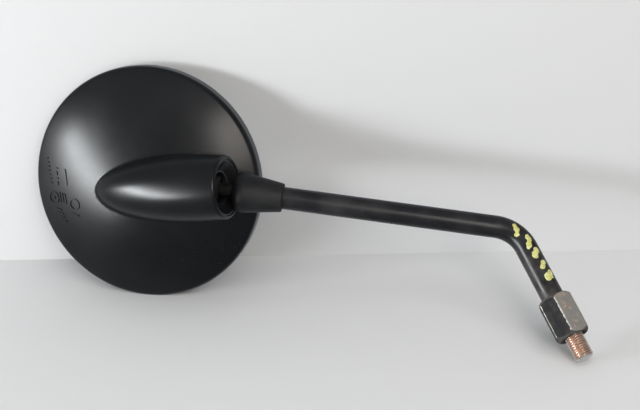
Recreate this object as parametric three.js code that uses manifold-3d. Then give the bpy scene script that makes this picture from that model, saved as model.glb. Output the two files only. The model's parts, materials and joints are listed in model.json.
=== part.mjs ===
// A round motorcycle mirror on a bent steel stem, in millimetres.
// +Z runs up the axis of the threaded stud, the origin is the centre of the lock nut's lower
// face, and the stem bends towards +X. The head hangs on a ball joint at the stem's far end.
import * as THREE from 'three';
import { mergeVertices } from 'three/addons/utils/BufferGeometryUtils.js';
import Module from 'manifold-3d';

const wasm = await Module();
wasm.setup();

// Clearance between pieces that touch.
const GAP = 0.3;

// Threaded stud, M10 x 1.25.
const THREAD = { radius: 4.95, pitch: 1.25, depth: 0.72, bottom: -12, chamfer: 1 };

// Long lock nut, 17 mm across flats.
const NUT = { flats: 17, height: 23, endRadius: 7.5, bore: 5.25, turn: 15.4 };
const NUT_TOP = { counterbore: 6.3, shelf: 17 };
const SEAL = { bottom: 19.3, height: 1.6, outer: 7.05, inner: 6.25, groove: 7.35 };

// Steel stem tube: a short upright leg, one bend and a long sloping leg.
const STEM = { radius: 6, bore: 4.3, corner: 64.6, leg: 165, bend: 59.6, bendRadius: 20 };
STEM.foot = NUT_TOP.shelf + 2 * GAP;
STEM.top = 18; // distance from the ball's centre back to the tube's end

// Ball joint; lengths along its axis are counted from the ball's centre towards the mouth.
const BALL = { radius: 7, neck: 3.6 };
const CAP = { inner: 7.3, outer: 8.4, opening: 50 };
const SEAT = { sphere: 8.7, outer: 9.6, bore: 9.9 };
const FRONT_RING = { back: 0.8, front: 4.2 };
const REAR_CUP = { front: -1.2, back: -11, spigot: 4.4, spigotLength: 1.6 };
const SPRING = { coil: 6.3, wire: 0.8, turns: 1.9 };
const CLAMP = { face: -16.3, thickness: 1.4, screws: 3, circle: 12.2, ear: 3 };
const SCREW = { shank: 1.4, hole: 1.6, head: 2.5, headHeight: 2, depth: 8.3 };
const WASHER = { outer: 2.7, inner: 1.7, thickness: 0.6 };

// Rubber boot on the stem; lengths along the stem are counted from the ball's centre.
// Its wide end turns inward in a round shoulder, to a mouth that clears the tube.
const BOOT = { start: 13, end: 40, wide: 10.9, narrow: 7.6, shoulder: 6, wall: 2, grip: 6.25, mouth: 6.6 };

// Mirror head. Its own frame has +Z out of the shell, +X from the disc's centre towards the
// boss's mouth, and the origin at the centre of the plane where the rim turns down.
const HEAD = { azimuth: 59.15, pitch: -28.35, roll: -28.7 };
const SHELL = { radius: 66, height: 20, edge: 4, wall: 2.5, skirt: 5.6, bead: 0.9, beadHeight: 0.4 };
const BOSS = {
  radius: 18.5, rim: 17, length: 79.5, belly: 24, wall: 2.2, slope: 8, mouth: 11, lip: 1.5, block: 16.8,
};
const MOUTH = { edge: 15.4, shelf: 14.2, step: 0.8, floor: 9.4, floorAt: 6.7, wallAt: 4.5, throat: 7.5 };
const BALL_IN_HEAD = { along: 44.6, height: 25 };
const RIB = { count: 8, width: 1.8, inner: 46, outer: 64, bottom: 1.9 };

// Glass stack, in the head's frame.
const GLASS = { radius: 61, thickness: 2.2, edge: -3.7, crown: 1.33 };
const GASKET = { outer: 63.2, lip: 59.6, front: -4.9, back: 0.2 };
const BACKING = { radius: 61.6, bottom: 0.6, thickness: 1 };
const PAD = { radius: 56, back: 0.3 };

const radians = THREE.MathUtils.degToRad;
const FULL = 2 * Math.PI;

const materials = {
  shell: new THREE.MeshStandardMaterial({ color: 0x232427, roughness: 0.42, metalness: 0 }),
  rubber: new THREE.MeshStandardMaterial({ color: 0x17181a, roughness: 0.8, metalness: 0 }),
  paint: new THREE.MeshStandardMaterial({ color: 0x1b1c20, roughness: 0.35, metalness: 0.1 }),
  steel: new THREE.MeshStandardMaterial({ color: 0x8f9092, roughness: 0.4, metalness: 1 }),
  rusty: new THREE.MeshStandardMaterial({ color: 0x9a6a4c, roughness: 0.55, metalness: 0.8 }),
  nylon: new THREE.MeshStandardMaterial({ color: 0x2a2a2b, roughness: 0.5, metalness: 0 }),
  foam: new THREE.MeshStandardMaterial({ color: 0x3a3b3d, roughness: 0.95, metalness: 0 }),
  card: new THREE.MeshStandardMaterial({ color: 0x56575a, roughness: 0.7, metalness: 0 }),
  mirror: new THREE.MeshStandardMaterial({ color: 0xd8dde0, roughness: 0.03, metalness: 1 }),
};

// Points of a circular arc in a profile's (radius, height) plane, angles in degrees.
function arc(r, z, radius, from, to, steps) {
  return Array.from({ length: steps + 1 }, (_, i) => {
    const a = radians(from + ((to - from) * i) / steps);
    return [r + radius * Math.cos(a), z + radius * Math.sin(a)];
  });
}

function signedArea(profile) {
  return profile.reduce((sum, [r, z], i) => {
    const [nextR, nextZ] = profile[(i + 1) % profile.length];
    return sum + (r * nextZ - nextR * z) / 2;
  }, 0);
}

// A body of revolution about Z. The profile either starts and ends on the axis or is a closed ring.
function lathe(profile, segments = 32) {
  const onAxis = profile[0][0] === 0;
  const turned = signedArea(profile) > 0 ? profile : [...profile].reverse();
  const points = turned.map(([r, z]) => new THREE.Vector2(r, z));
  if (!onAxis) points.push(points[0].clone());
  return new THREE.LatheGeometry(points, segments).rotateX(Math.PI / 2);
}

function rod(radius, bottom, top, segments = 24) {
  return lathe([[0, bottom], [radius, bottom], [radius, top], [0, top]], segments);
}

function tube(inner, outer, bottom, top, segments = 32) {
  return lathe([[inner, bottom], [outer, bottom], [outer, top], [inner, top]], segments);
}

// Skins a row of equal rings; a closed row joins its last ring to its first, an open one is capped.
function skin(rings, closed) {
  const size = rings[0].length;
  const vertices = rings.flat();
  const index = [];
  const rows = closed ? rings.length : rings.length - 1;
  for (let i = 0; i < rows; i++) {
    for (let j = 0; j < size; j++) {
      const a = i * size + j;
      const b = i * size + ((j + 1) % size);
      const c = ((i + 1) % rings.length) * size + j;
      const d = ((i + 1) % rings.length) * size + ((j + 1) % size);
      index.push(a, b, d, a, d, c);
    }
  }
  if (!closed) {
    const last = (rings.length - 1) * size;
    for (let j = 1; j < size - 1; j++) {
      index.push(0, j + 1, j, last, last + j, last + j + 1);
    }
  }
  return new THREE.BufferGeometry().setFromPoints(vertices).setIndex(index);
}

// A geometry as a manifold-3d solid, and back.
function solid(geometry) {
  const bare = geometry.clone();
  bare.deleteAttribute('normal');
  bare.deleteAttribute('uv');
  const merged = mergeVertices(bare, 1e-4);
  return new wasm.Manifold(new wasm.Mesh({
    numProp: 3,
    vertProperties: merged.attributes.position.array,
    triVerts: new Uint32Array(merged.index.array),
  }));
}

function geometryOf(body) {
  const mesh = body.getMesh();
  const geometry = new THREE.BufferGeometry();
  geometry.setAttribute('position', new THREE.BufferAttribute(mesh.vertProperties, 3));
  geometry.setIndex(new THREE.BufferAttribute(mesh.triVerts, 1));
  const flat = geometry.toNonIndexed();
  flat.computeVertexNormals();
  return flat;
}

function add(parent, name, geometry, material) {
  const mesh = new THREE.Mesh(geometry, material);
  mesh.name = name;
  parent.add(mesh);
  return mesh;
}

// Directions of the sloping leg and of the head's axes, in the part's frame.
const legDirection = new THREE.Vector3(Math.sin(radians(STEM.bend)), 0, Math.cos(radians(STEM.bend)));
const corner = new THREE.Vector3(0, 0, STEM.corner);
const ballCentre = corner.clone().addScaledVector(legDirection, STEM.leg);

// Threaded rod: rows of vertices that climb one pitch a turn, trimmed by a chamfered envelope.
function threadGeometry(top) {
  const segments = 18;
  const shape = [[0, 0], [0.15, 0], [0.57, 1]];
  const start = THREAD.bottom - 2 * THREAD.pitch;
  const turns = Math.ceil((top - start) / THREAD.pitch) + 1;
  const rows = turns * shape.length;
  const points = [];
  const at = new Map();
  const place = (row, seg) => {
    const wrapped = row + Math.floor(seg / segments) * shape.length;
    const key = `${wrapped}/${seg % segments}`;
    if (!at.has(key)) {
      const [phase, cut] = shape[wrapped % shape.length];
      const r = THREAD.radius - cut * THREAD.depth;
      const a = (FULL * (seg % segments)) / segments;
      const lift = Math.floor(wrapped / shape.length) + phase + (seg % segments) / segments;
      points.push(new THREE.Vector3(r * Math.cos(a), r * Math.sin(a), start + THREAD.pitch * lift));
      at.set(key, points.length - 1);
    }
    return at.get(key);
  };
  const index = [];
  for (let row = 0; row < rows; row++) {
    for (let seg = 0; seg < segments; seg++) {
      const [a, b] = [place(row, seg), place(row, seg + 1)];
      const [c, d] = [place(row + 1, seg), place(row + 1, seg + 1)];
      index.push(a, b, d, a, d, c);
    }
  }
  const cap = (row, height, flip) => {
    const loop = Array.from({ length: segments }, (_, seg) => place(row, seg));
    for (let k = shape.length; k > 0; k--) loop.push(place(row + k, 0));
    points.push(new THREE.Vector3(0, 0, height));
    const hub = points.length - 1;
    loop.forEach((v, i) => {
      const next = loop[(i + 1) % loop.length];
      index.push(...(flip ? [hub, next, v] : [hub, v, next]));
    });
  };
  cap(0, start, true);
  cap(rows, start + THREAD.pitch * (turns + 0.5), false);
  return new THREE.BufferGeometry().setFromPoints(points).setIndex(index);
}

// Stud: the thread below, and a plain plug that is welded into the tube's lower end.
function studGeometry() {
  const shoulder = STEM.foot - GAP;
  const { bottom, chamfer, radius } = THREAD;
  const envelope = solid(lathe([
    [0, bottom], [radius - chamfer, bottom], [radius + 0.05, bottom + chamfer],
    [radius + 0.05, shoulder], [0, shoulder],
  ]));
  const plugRadius = STEM.bore - GAP;
  const plug = solid(rod(plugRadius, shoulder - 1, 44, 24));
  return geometryOf(solid(threadGeometry(shoulder + 1)).intersect(envelope).add(plug));
}

// Hexagonal prism trimmed by a cone at each end, bored and counterbored.
function nutGeometry() {
  const cornerRadius = NUT.flats / 2 / Math.cos(Math.PI / 6);
  const hexagon = new THREE.Shape(Array.from({ length: 6 }, (_, i) => {
    const a = (FULL * i) / 6;
    return new THREE.Vector2(cornerRadius * Math.cos(a), cornerRadius * Math.sin(a));
  }));
  const prism = new THREE.ExtrudeGeometry(hexagon, { depth: NUT.height, bevelEnabled: false });
  const slope = cornerRadius - NUT.endRadius + 0.2;
  const cones = lathe([
    [0, 0], [NUT.endRadius, 0], [NUT.endRadius + slope, slope],
    [NUT.endRadius + slope, NUT.height - slope], [NUT.endRadius, NUT.height], [0, NUT.height],
  ], 48);
  const grooveTop = SEAL.bottom + SEAL.height + GAP;
  const hole = lathe([
    [0, -1], [NUT.bore + 1.4, -1], [NUT.bore, 0.4], [NUT.bore, NUT_TOP.shelf], [NUT_TOP.counterbore, NUT_TOP.shelf],
    [NUT_TOP.counterbore, SEAL.bottom - GAP], [SEAL.groove, SEAL.bottom - GAP], [SEAL.groove, grooveTop],
    [NUT_TOP.counterbore, grooveTop], [NUT_TOP.counterbore, NUT.height + 1], [0, NUT.height + 1],
  ]);
  return geometryOf(solid(prism).intersect(solid(cones)).subtract(solid(hole)));
}

function sealGeometry() {
  const { bottom, height, outer, inner } = SEAL;
  const round = 0.25;
  return lathe([
    [inner, bottom + round], [inner + round, bottom], [outer - round, bottom], [outer, bottom + round],
    [outer, bottom + height - round], [outer - round, bottom + height],
    [inner + round, bottom + height], [inner, bottom + height - round],
  ]);
}

// The tube's centre line as stations with a position and a direction.
function stemStations() {
  const tangent = STEM.bendRadius * Math.tan(radians(STEM.bend / 2));
  const centre = new THREE.Vector3(STEM.bendRadius, 0, STEM.corner - tangent);
  const stations = [[new THREE.Vector3(0, 0, STEM.foot), 0]];
  const steps = 9;
  for (let i = 0; i <= steps; i++) {
    const a = radians((STEM.bend * i) / steps);
    const out = new THREE.Vector3(-Math.cos(a), 0, Math.sin(a)).multiplyScalar(STEM.bendRadius);
    stations.push([centre.clone().add(out), a]);
  }
  stations.push([corner.clone().addScaledVector(legDirection, STEM.leg - STEM.top), radians(STEM.bend)]);
  return stations;
}

function stemGeometry() {
  const segments = 24;
  const ringAt = (radius) => ([centre, lean]) => Array.from({ length: segments }, (_, j) => {
    const a = (FULL * j) / segments;
    const across = new THREE.Vector3(Math.cos(lean), 0, -Math.sin(lean)).multiplyScalar(Math.cos(a));
    across.y = Math.sin(a);
    return centre.clone().addScaledVector(across, radius);
  });
  const stations = stemStations();
  const outer = stations.map(ringAt(STEM.radius));
  const inner = [...stations].reverse().map(ringAt(STEM.bore));
  return skin([...outer, ...inner], true);
}

// Ball, neck and plug, along the stem's axis: +Z of this frame points away from the stem.
function ballStudGeometry() {
  const plugRadius = STEM.bore - GAP;
  const neckAngle = (Math.asin(BALL.neck / BALL.radius) * 180) / Math.PI;
  const shoulder = STEM.top - GAP;
  return lathe([
    [0, BALL.radius],
    ...arc(0, 0, BALL.radius, 76, -90 + neckAngle, 10),
    [BALL.neck, -BALL.radius - 2], [BALL.neck, -shoulder + 3.5], [STEM.radius - 0.4, -shoulder + 1.2],
    [STEM.radius - 0.4, -shoulder], [plugRadius, -shoulder], [plugRadius, -36], [0, -36],
  ], 28);
}

// Nylon cap round the ball, open towards the stem.
function capGeometry() {
  const low = -90 + CAP.opening;
  return lathe([
    [0, CAP.outer], ...arc(0, 0, CAP.outer, 76, low, 8),
    ...arc(0, 0, CAP.inner, low, 76, 8), [0, CAP.inner],
  ], 28);
}

// Boot: a tapered sleeve with a round shoulder, hollow at its wide end, gripping the tube at its narrow end.
function bootGeometry() {
  const { start, end, wide, narrow, shoulder, wall, grip, mouth } = BOOT;
  const shoulderAt = start + shoulder;
  const taper = (s) => wide + ((narrow - wide) * (s - shoulderAt)) / (end - shoulderAt);
  const hollowEnd = start + 17;
  const centre = wide - shoulder;
  const angleAt = (radius) => (-Math.acos((mouth - centre) / radius) * 180) / Math.PI;
  const inner = shoulder - wall;
  const profile = [
    ...arc(centre, shoulderAt, shoulder, angleAt(shoulder), 0, 6),
    ...arc(taper(end) - 1.2, end - 1.2, 1.2, 12, 90, 3),
    [grip, end], [grip, hollowEnd], [taper(hollowEnd) - wall - 0.4, hollowEnd - 2],
    ...arc(centre, shoulderAt, inner, 0, angleAt(inner), 5),
  ];
  return lathe(profile.map(([r, s]) => [r, -s]), 36);
}

// Rings and cups that hold the ball, along the boss's axis.
function frontRingGeometry() {
  const { back, front } = FRONT_RING;
  const angleAt = (t) => (Math.asin(t / SEAT.sphere) * 180) / Math.PI;
  return lathe([[SEAT.outer, back], [SEAT.outer, front], ...arc(0, 0, SEAT.sphere, angleAt(front), angleAt(back), 5)]);
}

function rearCupGeometry() {
  const { front, back, spigot, spigotLength } = REAR_CUP;
  const angle = (Math.asin(front / SEAT.sphere) * 180) / Math.PI;
  return lathe([
    [0, -SEAT.sphere], ...arc(0, 0, SEAT.sphere, -77, angle, 6), [SEAT.outer, front],
    [SEAT.outer, back], [spigot, back], [spigot, back - spigotLength], [0, back - spigotLength],
  ]);
}

function springGeometry() {
  const from = REAR_CUP.back - GAP - SPRING.wire;
  const to = CLAMP.face - GAP + SPRING.wire + GAP;
  const steps = Math.round(SPRING.turns * 20);
  const rings = Array.from({ length: steps + 1 }, (_, i) => {
    const a = (FULL * SPRING.turns * i) / steps;
    const radial = new THREE.Vector3(Math.cos(a), Math.sin(a), 0);
    const centre = radial.clone().multiplyScalar(SPRING.coil).setZ(from + ((to - from) * i) / steps);
    return Array.from({ length: 8 }, (__, j) => {
      const b = (FULL * j) / 8;
      const offset = radial.clone().multiplyScalar(SPRING.wire * Math.cos(b));
      offset.z = -SPRING.wire * Math.sin(b);
      return centre.clone().add(offset);
    });
  });
  return skin(rings, false);
}

function screwPlace(i) {
  const a = (FULL * i) / CLAMP.screws;
  return [CLAMP.circle * Math.cos(a), CLAMP.circle * Math.sin(a)];
}

// Clamp plate: a disc with one ear for each screw.
function clampGeometry() {
  const top = CLAMP.face - GAP;
  const bottom = top - CLAMP.thickness;
  let body = solid(rod(SEAT.outer + 0.6, bottom, top, 36));
  for (let i = 0; i < CLAMP.screws; i++) {
    const [x, y] = screwPlace(i);
    body = body.add(solid(rod(CLAMP.ear, bottom, top, 24).translate(x, y, 0)));
  }
  for (let i = 0; i < CLAMP.screws; i++) {
    const [x, y] = screwPlace(i);
    body = body.subtract(solid(rod(WASHER.inner, bottom - 1, top + 1, 20).translate(x, y, 0)));
  }
  return geometryOf(body.subtract(solid(rod(2.5, bottom - 1, top + 1, 20))));
}

const washerTop = CLAMP.face - CLAMP.thickness - 2 * GAP;
const headTop = washerTop - WASHER.thickness - GAP;

function washerGeometry() {
  return tube(WASHER.inner, WASHER.outer, washerTop - WASHER.thickness, washerTop, 24);
}

// Pan-head screw with a cross recess, its shank pointing up the boss's axis.
function screwGeometry() {
  const { head, headHeight, shank, depth } = SCREW;
  const body = solid(lathe([
    [0, headTop - headHeight], [head * 0.55, headTop - headHeight], [head, headTop - headHeight * 0.45],
    [head, headTop], [shank, headTop], [shank, CLAMP.face + depth - 0.8],
    [shank * 0.4, CLAMP.face + depth], [0, CLAMP.face + depth],
  ], 20));
  const slot = (x, y) => solid(new THREE.BoxGeometry(x, y, 2).translate(0, 0, headTop - headHeight));
  return geometryOf(body.subtract(slot(2.8, 0.7)).subtract(slot(0.7, 2.8)));
}

// Dome outline from the axis to the top of the skirt, set in by the given wall.
function domeProfile(inset) {
  const { radius, height, edge } = SHELL;
  const edgeCentre = radius - edge;
  const dome = (edgeCentre ** 2 + height ** 2 - edge ** 2) / (2 * (height - edge));
  const tilt = (Math.asin(edgeCentre / (dome - edge)) * 180) / Math.PI;
  return [
    [0, height - inset],
    ...arc(0, height - dome, dome - inset, 86, 90 - tilt, 6),
    ...arc(edgeCentre, 0, edge - inset, 90 - tilt, 0, 5).slice(1),
  ];
}

function bossProfile(inset, length) {
  const { belly, lip } = BOSS;
  const widest = BOSS.radius - inset;
  const rim = BOSS.rim - inset;
  const profile = [[0, -length]];
  const steps = 9;
  for (let i = 1; i <= steps; i++) {
    const a = (Math.PI / 2) * (i / steps);
    profile.push([widest * Math.sin(a), -belly - (length - belly) * Math.cos(a)]);
  }
  for (const share of [0.4, 0.7]) {
    profile.push([Math.sqrt(widest ** 2 - (widest ** 2 - rim ** 2) * share ** 2), belly * (share - 1)]);
  }
  profile.push(...arc(rim - lip, -lip, lip, 0, 90, 3), [0, 0]);
  return profile;
}

// Moves a geometry from the boss's own frame, +Z towards the mouth, into the head's frame.
const toBoss = new THREE.Matrix4()
  .makeTranslation(BALL_IN_HEAD.along, 0, BALL_IN_HEAD.height)
  .multiply(new THREE.Matrix4().makeRotationY(Math.PI / 2 - radians(BOSS.slope)));

function inBoss(geometry) {
  return solid(geometry.applyMatrix4(toBoss));
}

function housingGeometry() {
  const { radius, wall, skirt, bead, beadHeight } = SHELL;
  const outerDome = solid(lathe([...domeProfile(0), [radius, -skirt], [0, -skirt]], 72));
  const lipRadius = radius - wall - bead;
  const innerDome = solid(lathe([
    ...domeProfile(wall), [radius - wall, beadHeight - skirt], [lipRadius, beadHeight - skirt],
    [lipRadius, -skirt - 1], [0, -skirt - 1],
  ], 72));
  const boss = inBoss(lathe(bossProfile(0, BOSS.length), 40).translate(0, 0, BOSS.mouth));
  const hollowBoss = inBoss(
    lathe(bossProfile(BOSS.wall, BOSS.length - 3), 36).translate(0, 0, BOSS.mouth - BOSS.wall));
  const block = inBoss(rod(BOSS.block, CLAMP.face, BOSS.mouth - BOSS.lip, 36));
  let body = outerDome.add(boss).subtract(innerDome).subtract(hollowBoss).add(block);
  for (let i = 0; i < RIB.count; i++) {
    const rib = new THREE.BoxGeometry(RIB.outer - RIB.inner, RIB.width, SHELL.height)
      .translate((RIB.outer + RIB.inner) / 2, 0, RIB.bottom + SHELL.height / 2)
      .rotateZ((FULL * (i + 0.5)) / RIB.count);
    body = body.add(solid(rib).intersect(outerDome));
  }
  body = body.subtract(inBoss(rod(SEAT.bore, CLAMP.face - 5, MOUTH.wallAt, 32)));
  body = body.subtract(inBoss(lathe([
    [0, MOUTH.wallAt - 0.5], [MOUTH.throat, MOUTH.wallAt - 0.5], [MOUTH.throat + 0.8, MOUTH.floorAt],
    [MOUTH.floor, MOUTH.floorAt], [MOUTH.shelf, BOSS.mouth - MOUTH.step],
    [MOUTH.edge - 0.4, BOSS.mouth - MOUTH.step], [MOUTH.edge, BOSS.mouth + 0.01],
    [MOUTH.edge, BOSS.mouth + 1], [0, BOSS.mouth + 1],
  ])));
  for (let i = 0; i < CLAMP.screws; i++) {
    const [x, y] = screwPlace(i);
    body = body.subtract(inBoss(rod(SCREW.hole, CLAMP.face - 1, CLAMP.face + SCREW.depth + 0.8, 20)
      .translate(x, y, 0)));
  }
  return geometryOf(body);
}

// Height of the glass's front or back face above its edge, at a radius.
function crownAt(r) {
  return -GLASS.crown * (1 - (r / GLASS.radius) ** 2);
}

function crownedDisc(radius, front, back, crownedBack) {
  const steps = 3;
  const at = (i) => (radius * i) / steps;
  const face = Array.from({ length: steps + 1 }, (_, i) => [at(i), front + crownAt(at(i))]);
  const rear = crownedBack
    ? Array.from({ length: steps + 1 }, (_, i) => [at(steps - i), back + crownAt(at(steps - i))])
    : [[radius, back], [0, back]];
  return lathe([...face, ...rear], 64);
}

function gasketGeometry() {
  const { outer, lip, front, back } = GASKET;
  const slotOuter = GLASS.radius + GAP;
  const slotFront = GLASS.edge - GAP - 0.05;
  const slotBack = GLASS.edge + GLASS.thickness + GAP;
  return lathe([
    [lip, front + 0.3], [lip + 0.3, front], [outer, front], [outer, back], [lip, back],
    [lip, slotBack], [slotOuter, slotBack], [slotOuter, slotFront], [lip, slotFront],
  ], 64);
}

// ---- assembly ----
const mirror = new THREE.Group();

// Stem: fixed to whatever the stud is screwed into.
add(mirror, 'threaded_stud', studGeometry(), materials.rusty);
add(mirror, 'stem_tube', stemGeometry(), materials.paint);

const stemEnd = new THREE.Group();
stemEnd.position.copy(ballCentre);
stemEnd.quaternion.setFromUnitVectors(new THREE.Vector3(0, 0, 1), legDirection);
mirror.add(stemEnd);
add(stemEnd, 'ball_stud', ballStudGeometry(), materials.steel);
add(stemEnd, 'stem_boot', bootGeometry(), materials.rubber);
add(stemEnd, 'ball_cap', capGeometry(), materials.nylon);

// Lock nut, standing at the angle where it was last left.
const nut = new THREE.Group();
nut.rotation.z = radians(NUT.turn);
mirror.add(nut);
add(nut, 'lock_nut', nutGeometry(), materials.paint);
add(nut, 'nut_seal_ring', sealGeometry(), materials.rubber);

// Head.
const shellNormal = new THREE.Vector3(1, 0, 0)
  .applyAxisAngle(new THREE.Vector3(0, 1, 0), radians(-HEAD.pitch))
  .applyAxisAngle(new THREE.Vector3(0, 0, 1), radians(HEAD.azimuth));
const level = new THREE.Vector3(0, 0, 1).cross(shellNormal).normalize();
const bossAlong = level.applyAxisAngle(shellNormal, radians(HEAD.roll));
const head = new THREE.Group();
const headTurn = new THREE.Matrix4()
  .makeBasis(bossAlong, shellNormal.clone().cross(bossAlong), shellNormal);
head.quaternion.setFromRotationMatrix(headTurn);
head.position.copy(new THREE.Vector3(-BALL_IN_HEAD.along, 0, -BALL_IN_HEAD.height))
  .applyQuaternion(head.quaternion).add(ballCentre);
mirror.add(head);

add(head, 'mirror_housing', housingGeometry(), materials.shell);
add(head, 'glass_gasket', gasketGeometry(), materials.rubber);
add(head, 'mirror_glass', crownedDisc(GLASS.radius, GLASS.edge, GLASS.edge + GLASS.thickness, true),
  materials.mirror);
add(head, 'foam_pad', crownedDisc(PAD.radius, GLASS.edge + GLASS.thickness + GAP, PAD.back, false),
  materials.foam);
add(head, 'backing_plate', rod(BACKING.radius, BACKING.bottom, BACKING.bottom + BACKING.thickness, 64),
  materials.card);

const boss = new THREE.Group();
boss.applyMatrix4(toBoss);
head.add(boss);
add(boss, 'front_seat_ring', frontRingGeometry(), materials.nylon);
add(boss, 'rear_seat_cup', rearCupGeometry(), materials.nylon);
add(boss, 'seat_spring', springGeometry(), materials.steel);
add(boss, 'clamp_plate', clampGeometry(), materials.steel);
for (let i = 0; i < CLAMP.screws; i++) {
  const [x, y] = screwPlace(i);
  add(boss, `screw_washer_${i + 1}`, washerGeometry(), materials.steel).position.set(x, y, 0);
  add(boss, `clamp_screw_${i + 1}`, screwGeometry(), materials.steel).position.set(x, y, 0);
}

export default mirror;
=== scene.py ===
"""A round motorcycle mirror on a bent steel stem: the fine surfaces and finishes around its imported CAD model.

Shapes are made in millimetres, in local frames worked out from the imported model, and stored in metres in
the model's own frame.
"""

import json
import math

import bpy
import numpy as np
from mathutils import Matrix, Vector


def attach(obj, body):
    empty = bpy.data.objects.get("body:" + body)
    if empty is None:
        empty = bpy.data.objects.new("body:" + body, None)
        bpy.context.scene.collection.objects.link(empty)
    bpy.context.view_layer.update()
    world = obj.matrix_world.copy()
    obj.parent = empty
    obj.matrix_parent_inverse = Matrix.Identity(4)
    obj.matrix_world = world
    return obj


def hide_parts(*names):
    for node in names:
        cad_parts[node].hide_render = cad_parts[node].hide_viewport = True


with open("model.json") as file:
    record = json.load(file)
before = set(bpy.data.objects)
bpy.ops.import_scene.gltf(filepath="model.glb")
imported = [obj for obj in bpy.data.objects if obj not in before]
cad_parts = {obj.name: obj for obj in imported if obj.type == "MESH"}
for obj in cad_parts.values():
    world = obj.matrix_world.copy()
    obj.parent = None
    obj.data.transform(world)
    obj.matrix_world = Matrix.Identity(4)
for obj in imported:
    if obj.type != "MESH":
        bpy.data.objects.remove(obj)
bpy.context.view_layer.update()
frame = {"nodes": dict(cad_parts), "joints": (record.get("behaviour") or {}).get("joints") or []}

MM = 0.001
X, Y, Z = np.eye(3)


# ---- camera

CAMERA_PLACE = (206.98, 551.72, -121.47)
CAMERA_RIGHT = (-0.92280, 0.02782, -0.38427)
CAMERA_UP = (-0.33560, 0.43184, 0.83719)
CAMERA_LENS = 64.69


def unit(v):
    v = np.asarray(v, float)
    return v / np.linalg.norm(v)


camera_right = unit(CAMERA_RIGHT)
camera_back = unit(np.cross(camera_right, CAMERA_UP))
camera_up = np.cross(camera_back, camera_right)


def add_camera():
    data = bpy.data.cameras.new("camera")
    data.lens = CAMERA_LENS
    data.clip_start, data.clip_end = 0.02, 50
    camera = bpy.data.objects.new("camera", data)
    turn = Matrix(np.column_stack([camera_right, camera_up, camera_back]).tolist()).to_4x4()
    camera.matrix_world = Matrix.Translation(Vector(CAMERA_PLACE) * MM) @ turn
    bpy.context.scene.collection.objects.link(camera)
    bpy.context.scene.camera = camera


add_camera()


# ---- local frames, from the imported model

joints = {j["name"]: j for j in frame["joints"]}


def positions(items, key):
    """The positions of a mesh's vertices or faces in millimetres."""
    flat = np.empty(len(items) * 3, np.float32)
    items.foreach_get(key, flat)
    return flat.reshape(-1, 3).astype(float) / MM


def numbers(items, key):
    """A whole number of each item of a mesh."""
    flat = np.empty(len(items), np.int32)
    items.foreach_get(key, flat)
    return flat


def corners_of(node):
    return positions(frame["nodes"][node].data.vertices, "co")


class Place:
    """A local frame in millimetres: an origin and three axes, given in the model's frame."""

    def __init__(self, origin, x, y, z):
        self.origin = np.asarray(origin, float)
        self.axes = np.array([x, y, z], float)

    def out(self, points):
        return self.origin + np.asarray(points, float) @ self.axes

    def into(self, points):
        return (np.asarray(points, float) - self.origin) @ self.axes.T


def place_along(origin, z):
    """A frame whose third axis is z."""
    z = unit(z)
    x = unit(np.cross(Y if abs(z[1]) < 0.9 else X, z))
    return Place(origin, x, np.cross(z, x), z)


# Stem end: origin at the ball's centre, third axis pointing away from the stem.
ball = np.array(joints["head_turn"]["pos_m"]) / MM
stem_end = place_along(ball, -np.array(joints["head_turn"]["axis"]))

# Boss: origin at the ball's centre, third axis towards the mouth.
boss_axis = unit(joints["head_roll"]["axis"])

# Head: origin on the disc's axis where the rim turns down, third axis out of the shell, first axis
# towards the mouth.
plate = corners_of("backing_plate")
PLATE_MIDDLE = 1.1
disc_normal = np.linalg.svd(plate - plate.mean(0), full_matrices=False)[2][2]
disc_normal *= np.sign(disc_normal @ (ball - plate.mean(0)))
disc_x = unit(boss_axis - (boss_axis @ disc_normal) * disc_normal)
disc_y = np.cross(disc_normal, disc_x)
head = Place((plate.min(0) + plate.max(0)) / 2 - PLATE_MIDDLE * disc_normal, disc_x, disc_y, disc_normal)
boss = Place(ball, np.cross(disc_y, boss_axis), disc_y, boss_axis)
ball_in_head = head.into(ball)
boss_axis_in_head = boss_axis @ head.axes.T

# Stud: the model's own axes.
stud = Place((0, 0, 0), X, Y, Z)


# ---- meshes

SHARP_ANGLE = 35


def shade(mesh, sharp_angle):
    mesh.shade_smooth()
    mesh.set_sharp_from_angle(angle=math.radians(sharp_angle))


def new_object(name, points, faces, place, smooth_angle=SHARP_ANGLE):
    """A closed mesh from points in a local frame, smooth except where it bends by more than an angle."""
    mesh = bpy.data.meshes.new(name)
    mesh.from_pydata((place.out(points) * MM).tolist(), [], [list(map(int, f)) for f in faces])
    mesh.update()
    shade(mesh, smooth_angle)
    shape = bpy.data.objects.new(name, mesh)
    bpy.context.scene.collection.objects.link(shape)
    return shape


def around(count):
    return np.arange(count) * 2 * math.pi / count


def arc(r, z, radius, start, end, steps):
    """Points of a circular arc in a profile's (radius, height) plane, angles in degrees."""
    angles = np.radians(np.linspace(start, end, steps + 1))
    return [(r + radius * math.cos(a), z + radius * math.sin(a)) for a in angles]


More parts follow.
